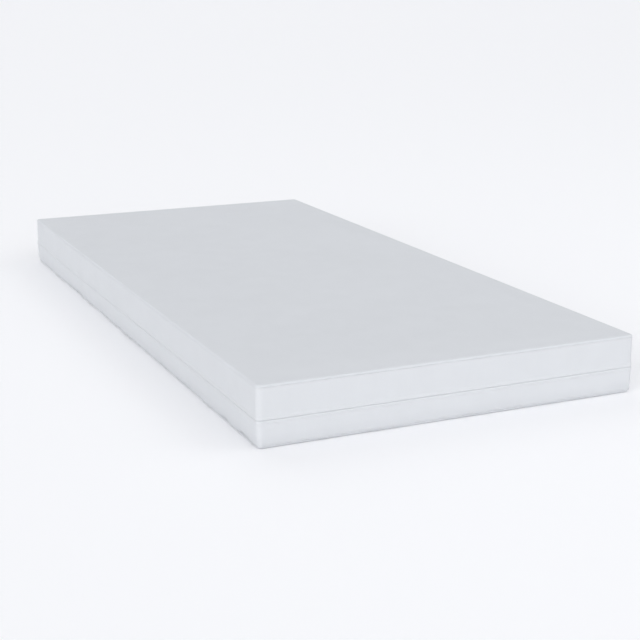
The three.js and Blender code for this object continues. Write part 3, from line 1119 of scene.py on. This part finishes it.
def stitch(length, radius, arch, slant, out=0.0, height=0.0):
    """Rows of (along, out, height) for a length of thread that arches out of the cloth."""
    rows = []
    for t in np.linspace(-1, 1, STITCH_STEPS):
        fat = radius * (1 - 0.35 * t ** 4)
        for angle in np.arange(STITCH_SIDES) * math.tau / STITCH_SIDES:
            rows.append((t * length / 2, out + arch * (0.5 - t * t) + fat * math.cos(angle),
                         height + slant * t + fat * math.sin(angle)))
    return np.array(rows)


STITCH_FACES = tube_faces(STITCH_STEPS, STITCH_SIDES)

# %% Seam stitches
STITCH_PITCH = 3.4 * MM
THREAD_RADIUS = 0.24 * MM


def seam_stitches(name, node, body, inset, height):
    count = round(ROUND / STITCH_PITCH)
    one = stitch(0.86 * STITCH_PITCH, THREAD_RADIUS, 0.3 * MM, 0.16 * MM, -inset, height)
    points = follow_cloth(along_outline(np.arange(count) * ROUND / count, one))
    faces = copied_faces(STITCH_FACES, len(one), count)
    piece = face_outwards(finish_mesh(name, points, faces, points, thread_yarn))
    fit(piece, body, node)
    print(name, "stitches:", count)


seam_stitches("top_seam_stitches", "top_seam_thread", "cover_top", 1.35 * MM,
              TOP_SEAM - 0.5 * MM)
seam_stitches("base_seam_stitches", "base_seam_thread", "core_and_base",
              BASE_FACE - 0.1 * MM, BASE_SEAM + 0.25 * MM)

# %% [markdown]
# ## The zip
#
# The zip runs all the way round, so that the top of the cover comes off. It has two woven
# tapes, each with a nylon coil along its edge: one filament wound into a spiral, whose turns
# hook between the turns of the other coil. The hems hide it, but it shows in the open slot
# and when the cover is lifted. The coils could be a toothed strip with a bump, but a lifted
# cover shows them against the light, so each is a real spiral, wound along the same outline.

# %% Zip tapes
TAPE_STEP = 3 * MM
TAPE_THICK = 0.6 * MM
TAPE_START = 0.921
TAPE_END = 0.911
ZIP_SIDES = (("upper", "cover_top"), ("lower", "core_and_base"))


def tape_section(outer, low, high):
    """(out, height) points round the section of a tape, whose edges are rounded."""
    inner = outer - TAPE_THICK
    ease = TAPE_THICK / 4
    return [(outer, low + 2 * ease), (outer, high - 2 * ease), (outer - ease, high),
            (inner + ease, high), (inner, high - 2 * ease), (inner, low + 2 * ease),
            (inner + ease, low), (outer - ease, low)]


def zip_tape(side, body):
    low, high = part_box(side + "_zip_tape")
    section = tape_section(high.x - sides_high.x, low.z, high.z)
    start, end = distance_at(TAPE_START), distance_at(TAPE_END) + ROUND
    distances = np.linspace(start, end, round((end - start) / TAPE_STEP))
    local = np.array([(0.0, out, height) for out, height in section])
    points = along_outline(distances, local)
    points[:, 2] -= sag(points)
    faces = tube_faces(len(distances), len(section))
    across = np.tile(np.array([height for _, height in section]), len(distances))
    flat = np.column_stack([np.repeat(distances, len(section)), across, np.zeros(len(across))])
    piece = face_outwards(finish_mesh(side + "_zip_tape_woven", points, faces, flat, tape_cloth))
    fit(piece, body, side + "_zip_tape")
    print(piece.name, "m:", round(high.z - low.z, 4), "x", round(end - start, 3))


for side, body in ZIP_SIDES:
    zip_tape(side, body)

# %% Zip coils
COIL_START = 0.928
COIL_END = 0.904
COIL_PITCH = 2.6 * MM
COIL_SAMPLES = 8
WIRE_RADIUS = 0.25 * MM
WIRE_SIDES = 5
COIL_DEPTH = 1.6 * MM
COIL_REACH = 0.2 * MM  # how far the turns pass the middle of the zip


def zip_coil(side, body):
    node = side + "_zip_coil"
    low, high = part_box(node)
    out_middle = high.x - sides_high.x - COIL_DEPTH / 2
    tip = ZIP - COIL_REACH if side == "upper" else ZIP + COIL_REACH
    tail = high.z if side == "upper" else low.z
    middle, half = (tip + tail) / 2, abs(tail - tip) / 2 - WIRE_RADIUS
    start, end = distance_at(COIL_START), distance_at(COIL_END) + ROUND
    shift = 0.0 if side == "upper" else COIL_PITCH / 2
    turns = int((end - start - shift) / COIL_PITCH)
    angle = np.arange(turns * COIL_SAMPLES) * math.tau / COIL_SAMPLES
    distances = start + shift + angle / math.tau * COIL_PITCH
    at, out = outline_at(distances)
    swing_out = (COIL_DEPTH / 2 - WIRE_RADIUS) * np.sin(angle)
    radial = np.column_stack([out * np.sin(angle)[:, None], np.cos(angle)])
    centre = np.column_stack([at + out * (out_middle + swing_out)[:, None],
                              middle + half * np.cos(angle)])
    along = np.gradient(centre, axis=0)
    along /= np.linalg.norm(along, axis=1)[:, None]
    radial -= along * np.sum(radial * along, axis=1)[:, None]
    radial /= np.linalg.norm(radial, axis=1)[:, None]
    beside = np.cross(along, radial)
    points = []
    for turn in np.arange(WIRE_SIDES) * math.tau / WIRE_SIDES:
        aside = radial * math.cos(turn) + beside * math.sin(turn)
        points.append(centre + WIRE_RADIUS * aside)
    points = np.stack(points, axis=1).reshape(-1, 3)
    points[:, 2] -= sag(points)
    faces = tube_faces(len(angle), WIRE_SIDES)
    piece = face_outwards(finish_mesh(node + "_spiral", points, faces, points, coil_nylon))
    fit(piece, body, node)
    print(piece.name, "turns:", turns)


for side, body in ZIP_SIDES:
    zip_coil(side, body)

# %% [markdown]
# ## Zip stops
#
# A stop is a scrap of metal that is bent round the edge of the tape and crimped. It could be
# a small block, but the real one is a clamp with an open back, so it is a U-shaped section
# drawn out to its length, with a Bevel modifier to round the edges as crimping does.

# %% Zip stops
STOP_EDGE = 0.12 * MM
STOP_NODES = [(f"{side}_stop_{end}_end", body, 1 if side == "upper" else -1)
              for side, body in ZIP_SIDES for end in ("closed", "open")]


def soften(piece, width):
    edges = piece.modifiers.new("rounded_edges", "BEVEL")
    edges.width = width
    edges.segments = 2
    edges.limit_method = "ANGLE"
    edges.angle_limit = math.radians(35)


def crimped_stop(node, body, up):
    low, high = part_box(node)
    wide, tall = high.x - low.x, high.z - low.z
    # (across, away from the middle of the zip): outside of the clamp, then its slot
    section = [(0, 0.15), (0.12, 0), (0.88, 0), (1, 0.15), (1, 0.9), (0.9, 1), (0.7, 1),
               (0.7, 0.45), (0.3, 0.45), (0.3, 1), (0.1, 1), (0, 0.9)]
    start = low.z if up > 0 else high.z
    steps = [(0.0, 0.0), (0.3, 0.0), (0.5, 0.06), (0.7, 0.0), (1.0, 0.0)]
    points = []
    for share, pinch in steps:
        y = low.y + (high.y - low.y) * share
        points += [(low.x + wide * (0.5 + (a - 0.5) * (1 - pinch)), y, start + up * tall * b)
                   for a, b in section]
    faces = tube_faces(len(steps), len(section))
    piece = face_outwards(finish_mesh(node + "_clamp", points, faces, points, zip_metal, False))
    soften(piece, STOP_EDGE)
    fit(piece, body, node)


for node, body, up in STOP_NODES:
    crimped_stop(node, body, up)
print("stops:", [node for node, _, _ in STOP_NODES])

# %% [markdown]
# ## Slider and pull tab
#
# The slider has two plates, one outside the hems and one behind the coils. A thin post joins
# them and parts the coils, and an arch on the outer plate carries the tab. Both plates are
# wide at the end where the coils come in and narrow where they leave hooked together. A
# cast part has no sharp edge anywhere, so each plate is built as rows that are drawn in
# towards a slightly domed middle, and the arch is a strap swept along a bent path.

# %% Shapes drawn from an outline
def smooth_loop(corners, steps):
    """A closed smooth curve through the given corners."""
    corners = np.array(corners, float)
    before, after = np.roll(corners, 1, axis=0), np.roll(corners, -1, axis=0)
    beyond = np.roll(corners, -2, axis=0)
    made = []
    for t in np.arange(steps) / steps:
        made.append(0.5 * (2 * corners + (after - before) * t
                           + (2 * before - 5 * corners + 4 * after - beyond) * t ** 2
                           + (3 * corners - before - 3 * after + beyond) * t ** 3))
    return np.stack(made, axis=1).reshape(-1, 2)


def mirrored_loop(half, steps):
    """A smooth curve through half an outline and its mirror image."""
    return smooth_loop(np.vstack([half, half[-2:0:-1] * (1, -1)]), steps)


def domed_plate(outline, rows, centre, low_tip, high_tip):
    """A closed body facing along X. rows are (share of the outline, x), from the middle of
    one face over the edge to the middle of the other."""
    count = len(outline)
    points = [(low_tip, *centre)]
    for share, x in rows:
        points += [(x, centre[0] + a * share, centre[1] + b * share) for a, b in outline]
    points.append((high_tip, *centre))
    last = len(points) - 1
    faces = [(0, 1 + (i + 1) % count, 1 + i) for i in range(count)]
    faces += [tuple(v + 1 for v in face) for face in tube_faces(len(rows), count, False)]
    ring = 1 + (len(rows) - 1) * count
    faces += [(last, ring + i, ring + (i + 1) % count) for i in range(count)]
    return points, faces


def gathered(*bodies):
    """One list of points and one of faces from several bodies."""
    points, faces = [], []
    for more_points, more_faces in bodies:
        faces += [tuple(i + len(points) for i in face) for face in more_faces]
        points += [tuple(p) for p in more_points]
    return points, faces


def plate_rows(low_x, high_x, edge, dome):
    return [(0.5, low_x), (0.93, low_x), (0.985, low_x + 0.3 * edge), (1.0, low_x + edge),
            (1.0, high_x - edge), (0.985, high_x - 0.3 * edge), (0.94, high_x),
            (0.8, high_x + 0.35 * dome), (0.45, high_x + 0.85 * dome)], high_x + dome

# %% Slider parts
slider_low, slider_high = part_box("zip_slider")
PARK = (slider_low.y + slider_high.y) / 2
SLIDER_BACK = slider_low.x
SLIDER_FACE = sides_high.x + 0.3 * MM
PLATE = 1.5 * MM
BACK_PLATE = 0.8 * MM
SHIELD = np.array([  # half of the outline: along the zip, across it
    (-7.0, 0.0), (-6.9, 2.2), (-6.0, 3.15), (-3.0, 3.3), (0.5, 3.45), (3.2, 3.95), (5.2, 4.45),
    (6.5, 4.25), (6.95, 3.2), (6.7, 1.6), (6.1, 0.0)]) * MM
ARCH_WIDTH = 2.3 * MM
ARCH_PATH = np.array([  # along the zip, out of the plate
    (-3.7, -0.4), (-3.75, 0.6), (-3.6, 1.5), (-3.1, 2.2), (-2.2, 2.62), (-1.1, 2.78),
    (0.0, 2.82), (1.1, 2.78), (2.2, 2.62), (3.1, 2.2), (3.6, 1.5), (3.75, 0.6),
    (3.7, -0.4)]) * MM
ARCH_THICK = 0.9 * MM


def slider_plate(low_x, high_x, edge, dome, size=1.0):
    rows, tip = plate_rows(low_x, high_x, edge, dome)
    return domed_plate(mirrored_loop(SHIELD * size, 4), rows, (PARK, ZIP), low_x, tip)


def squared(value, power):
    """A sine or cosine bent towards a square wave, which makes a circle a rounded box."""
    return math.copysign(abs(value) ** power, value)


def arch_strap(base_x):
    ahead = np.gradient(ARCH_PATH, axis=0)
    ahead /= np.linalg.norm(ahead, axis=1)[:, None]
    outer = np.column_stack([-ahead[:, 1], ahead[:, 0]])
    angles = np.arange(12) * math.tau / 12
    points = []
    for (y, x), (out_y, out_x) in zip(ARCH_PATH, outer):
        for angle in angles:
            wide = squared(math.cos(angle), 0.5) * ARCH_WIDTH / 2
            deep = squared(math.sin(angle), 0.7) * ARCH_THICK / 2
            points.append((base_x + x + out_x * deep, PARK + y + out_y * deep, ZIP + wide))
    return points, tube_faces(len(ARCH_PATH), len(angles))


def slider_post():
    """The post between the plates: a lens in section, drawn out from plate to plate."""
    lens = np.array([(2.4 * math.cos(a), 0.27 * math.sin(a))
                     for a in np.linspace(0, math.tau, 24, endpoint=False)]) * MM
    back, front = SLIDER_BACK + BACK_PLATE / 2, SLIDER_FACE + PLATE / 2
    rows = [back + (front - back) * t for t in (0, 0.5, 1)]
    points = [(x, PARK + 1.0 * MM + a, ZIP + b) for x in rows for a, b in lens]
    return points, tube_faces(len(rows), len(lens))

# %% Slider
slider_points, slider_faces = gathered(
    slider_plate(SLIDER_FACE, SLIDER_FACE + PLATE - 0.15 * MM, 0.4 * MM, 0.15 * MM),
    slider_plate(SLIDER_BACK, SLIDER_BACK + BACK_PLATE, 0.25 * MM, 0.0, 0.97),
    slider_post(), arch_strap(SLIDER_FACE + PLATE))
zip_slider = face_outwards(finish_mesh("zip_slider_cast", slider_points, slider_faces,
                                       slider_points, zip_metal))
fit(zip_slider, "slider", "zip_slider")
print("slider faces:", len(slider_faces))

# %% Shape of the pull tab
TAB_LOW, TAB_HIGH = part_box("pull_tab")
TAB_MIDDLE = (TAB_LOW.x + TAB_HIGH.x) / 2
TAB_THICK = TAB_HIGH.x - TAB_LOW.x
TAB_SHAPE = np.array([  # half of the outline: from the hinge end, across
    (0.0, 0.0), (0.1, 2.2), (0.9, 3.1), (3.5, 3.3), (7.6, 3.1), (10.5, 2.7), (14.0, 2.95),
    (18.5, 3.45), (21.5, 3.3), (23.3, 2.1), (24.0, 0.0)]) * MM
WINDOW_SHAPE = np.array([(1.2, 0.0), (1.35, 1.35), (2.0, 1.8), (4.0, 1.8), (6.6, 1.7),
                         (7.6, 1.1), (7.8, 0.0)]) * MM
GRIP = [(15.0, 2.2), (16.7, 2.5), (18.4, 2.7), (20.1, 2.5)]  # ribs: from the end, half width
RIB_ROWS = 7
RIB_SIDES = 8
TAB_EDGE = 0.22 * MM


def tab_body():
    """The tab as a filled curve with a hole, turned into a mesh."""
    curve = bpy.data.curves.new("tab_outline", "CURVE")
    curve.dimensions = "2D"
    curve.fill_mode = "BOTH"
    curve.extrude = TAB_THICK / 2 - TAB_EDGE
    curve.bevel_depth = TAB_EDGE
    curve.bevel_resolution = 2
    curve.offset = -TAB_EDGE
    for loop in (mirrored_loop(TAB_SHAPE, 5), mirrored_loop(WINDOW_SHAPE, 4)):
        spline = curve.splines.new("POLY")
        spline.points.add(len(loop) - 1)
        spline.points.foreach_set("co", np.column_stack(
            [loop, np.zeros(len(loop)), np.ones(len(loop))]).ravel())
        spline.use_cyclic_u = True
    drawn = add_object("tab_outline", curve)
    bpy.context.view_layer.update()
    mesh = bpy.data.meshes.new_from_object(drawn.evaluated_get(
        bpy.context.evaluated_depsgraph_get()))
    points = [(TAB_MIDDLE + v.co.z, TAB_LOW.y + v.co.x, ZIP + v.co.y) for v in mesh.vertices]
    faces = [tuple(polygon.vertices) for polygon in mesh.polygons]
    bpy.data.objects.remove(drawn)
    bpy.data.curves.remove(curve)
    bpy.data.meshes.remove(mesh)
    return points, faces


def grip_rib(along, half_width, face):
    """A low rounded rib across one face of the tab."""
    x = TAB_MIDDLE + face * (TAB_THICK / 2 - 0.12 * MM)
    y = TAB_LOW.y + along * MM
    points = []
    for t in np.linspace(-1, 1, RIB_ROWS):
        fat = math.sqrt(max(1 - t ** 6, 0.02)) * 0.32 * MM
        points += [(x + fat * math.cos(angle), y + fat * math.sin(angle),
                    ZIP + t * half_width * 0.8 * MM)
                   for angle in np.arange(RIB_SIDES) * math.tau / RIB_SIDES]
    return points, tube_faces(RIB_ROWS, RIB_SIDES)

# %% Pull tab
tab_points, tab_faces = gathered(
    tab_body(), *[grip_rib(*rib, face) for rib in GRIP for face in (-1, 1)])
pull_tab = finish_mesh("pull_tab_cast", tab_points, tab_faces, tab_points, zip_metal, False)
face_outwards(pull_tab, join=0.01 * MM)
fit(pull_tab, "tab", "pull_tab")
print("pull tab faces:", len(tab_faces))

# %% [markdown]
# ## End patch and label
#
# A patch of the border cloth covers the place where the zip begins and ends, so that the
# cut tape cannot fray and the slider stops there. It is sewn down all round, with a dense
# bar of zigzag at each end. The label is a folded satin ribbon, left blank, whose two ends
# are caught under one row of stitches, so it stands a little off the cloth at its fold.

# %% Sewing on a flat side
def stitch_run(corners, pitch, closed=True):
    """Middles and directions of stitches of even pitch along straight runs."""
    corners = [np.array(c, float) for c in corners]
    if closed:
        corners.append(corners[0])
    made = []
    for here, there in zip(corners, corners[1:]):
        count = max(1, round(np.linalg.norm(there - here) / pitch))
        ahead = (there - here) / np.linalg.norm(there - here)
        made += [(here + (there - here) * (k + 0.5) / count, ahead) for k in range(count)]
    return made


SEWN_PITCH = 2.6 * MM
SEWN_RADIUS = 0.2 * MM


def sewn_piece(name, body, run, length, arch, frame_of):
    """Stitches along a run. frame_of turns (a, b, out) on the side into X, Y, Z."""
    one = stitch(length, SEWN_RADIUS, arch, 0.0)
    points = []
    for middle, ahead in run:
        aside = np.array([-ahead[1], ahead[0]])
        for along, out, across in one:
            a, b = middle + ahead * along + aside * across
            points.append(frame_of(a, b, out))
    faces = copied_faces(STITCH_FACES, len(one), len(run))
    piece = face_outwards(finish_mesh(name, points, faces, [], thread_yarn))
    fit(piece, body)
    return piece

# %% Zip end patch
PATCH_LOW, PATCH_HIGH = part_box("zip_end_patch")
PATCH_SPAN = PATCH_HIGH - PATCH_LOW
PATCH_MIDDLE = (PATCH_LOW + PATCH_HIGH) / 2
PATCH_ROUND = 3 * MM
PATCH_SEAM = 1.7 * MM
PATCH_ROWS = (  # share of the outline, from the back face or from the front face
    (0.5, "back", 0.0), (0.97, "back", 0.0), (1.0, "back", 0.25), (0.995, "back", 0.6),
    (0.965, "front", 0.0), (0.9, "front", -0.02), (0.86, "front", -0.14),
    (0.8, "front", 0.02), (0.6, "front", 0.22), (0.3, "front", 0.3))
PATCH_DOME = 0.3 * MM


def rounded_corners(half_a, half_b, radius, steps=6):
    loop = []
    for turn, (sa, sb) in enumerate(((1, 1), (-1, 1), (-1, -1), (1, -1))):
        for k in range(steps + 1):
            angle = (turn + k / steps) * math.pi / 2
            loop.append((sa * (half_a - radius) + radius * math.cos(angle),
                         sb * (half_b - radius) + radius * math.sin(angle)))
    return np.array(loop)


def patch_frame(a, b, out):
    return (PATCH_HIGH.x + out, PATCH_MIDDLE.y + a, PATCH_MIDDLE.z + b)


patch_outline = rounded_corners(PATCH_SPAN.y / 2, PATCH_SPAN.z / 2, PATCH_ROUND)
patch_faces_at = {"back": PATCH_LOW.x, "front": PATCH_HIGH.x}
patch_rows = [(share, patch_faces_at[face] + lift * MM) for share, face, lift in PATCH_ROWS]
patch_points, patch_faces = domed_plate(patch_outline, patch_rows,
                                        (PATCH_MIDDLE.y, PATCH_MIDDLE.z), PATCH_LOW.x,
                                        PATCH_HIGH.x + PATCH_DOME)
patch_flat = [(y, z, 0.0) for _, y, z in patch_points]
end_patch = face_outwards(finish_mesh("zip_end_patch_cloth", patch_points, patch_faces,
                                      patch_flat, side_cloth))
fit(end_patch, "cover_top", "zip_end_patch")

# %% Patch stitches
BAR_INSET = 2.2 * MM  # of the zigzag bar at each end
BAR_HALF = 0.7 * MM  # half its width

half_a, half_b = PATCH_SPAN.y / 2 - PATCH_SEAM, PATCH_SPAN.z / 2 - PATCH_SEAM
patch_run = stitch_run([(-half_a, -half_b), (half_a, -half_b), (half_a, half_b),
                        (-half_a, half_b)], SEWN_PITCH)
for end in (-1, 1):
    bar = [np.array((end * (half_a - BAR_INSET) + (-1) ** k * BAR_HALF, b))
           for k, b in enumerate(np.linspace(-half_b + 1 * MM, half_b - 1 * MM, 19))]
    patch_run += [((here + there) / 2, (there - here) / np.linalg.norm(there - here))
                  for here, there in zip(bar, bar[1:])]
patch_thread = sewn_piece("zip_end_patch_stitches", "cover_top", patch_run, 2.0 * MM, 0.3 * MM,
                          patch_frame)
print("patch stitches:", len(patch_run))

# %% Blank label
LABEL_LOW, LABEL_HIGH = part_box("care_label")
LABEL_CLOTH = 0.2 * MM
LABEL_COLUMNS = 24
LABEL_WAVE = 0.5  # mm, how far its lower edge waves
LABEL_CURL = 0.8  # mm, how far one corner stands off
LABEL_STITCH_OUT = 0.55 * MM
LABEL_PATH = (  # (out from the side, share of the height): front leaf, fold, back leaf
    (0.42, 1.0), (0.44, 0.96), (0.75, 0.85), (1.15, 0.7), (1.5, 0.5), (1.6, 0.3), (1.45, 0.14),
    (1.25, 0.05), (1.0, 0.01), (0.75, 0.0), (0.5, 0.015), (0.35, 0.06), (0.28, 0.16),
    (0.24, 0.35), (0.2, 0.6), (0.18, 0.85), (0.18, 1.0))


def label_frame(x, z, out):
    return (x, LABEL_LOW.y + out, z)


label_points, label_flat, label_faces = [], [], []
label_span = LABEL_HIGH - LABEL_LOW
down = 0.0
for k, (out, share) in enumerate(LABEL_PATH):
    if k:
        down += math.hypot((share - LABEL_PATH[k - 1][1]) * label_span.z,
                           (out - LABEL_PATH[k - 1][0]) * MM)
    for column in range(LABEL_COLUMNS + 1):
        across = column / LABEL_COLUMNS
        curl = LABEL_WAVE * math.sin(across * 4.4 + 0.6) + LABEL_CURL * across ** 6
        curl *= (1 - share) ** 2
        label_points.append(label_frame(LABEL_LOW.x + across * label_span.x,
                                        LABEL_LOW.z + share * label_span.z,
                                        (out + curl * min(1.0, out)) * MM))
        label_flat.append((across * label_span.x, down, 0.0))
for k in range(len(LABEL_PATH) - 1):
    for column in range(LABEL_COLUMNS):
        a = k * (LABEL_COLUMNS + 1) + column
        label_faces.append((a, a + 1, a + LABEL_COLUMNS + 2, a + LABEL_COLUMNS + 1))
label = finish_mesh("care_label_blank", label_points, label_faces, label_flat, label_cloth)
thicken(label, LABEL_CLOTH, offset=0.0)
fit(label, "core_and_base", "care_label")


def label_seam_frame(x, z, out):
    return label_frame(x, z, out + LABEL_STITCH_OUT)


label_run = stitch_run([(LABEL_LOW.x + 1 * MM, LABEL_HIGH.z - 2 * MM),
                        (LABEL_HIGH.x - 1 * MM, LABEL_HIGH.z - 2 * MM)], SEWN_PITCH, False)
label_thread = sewn_piece("care_label_stitches", "core_and_base", label_run, 2.1 * MM, 0.25 * MM,
                          label_seam_frame)
print("label ribbon, m:", round(label_span.x, 3), "x", round(down, 3))
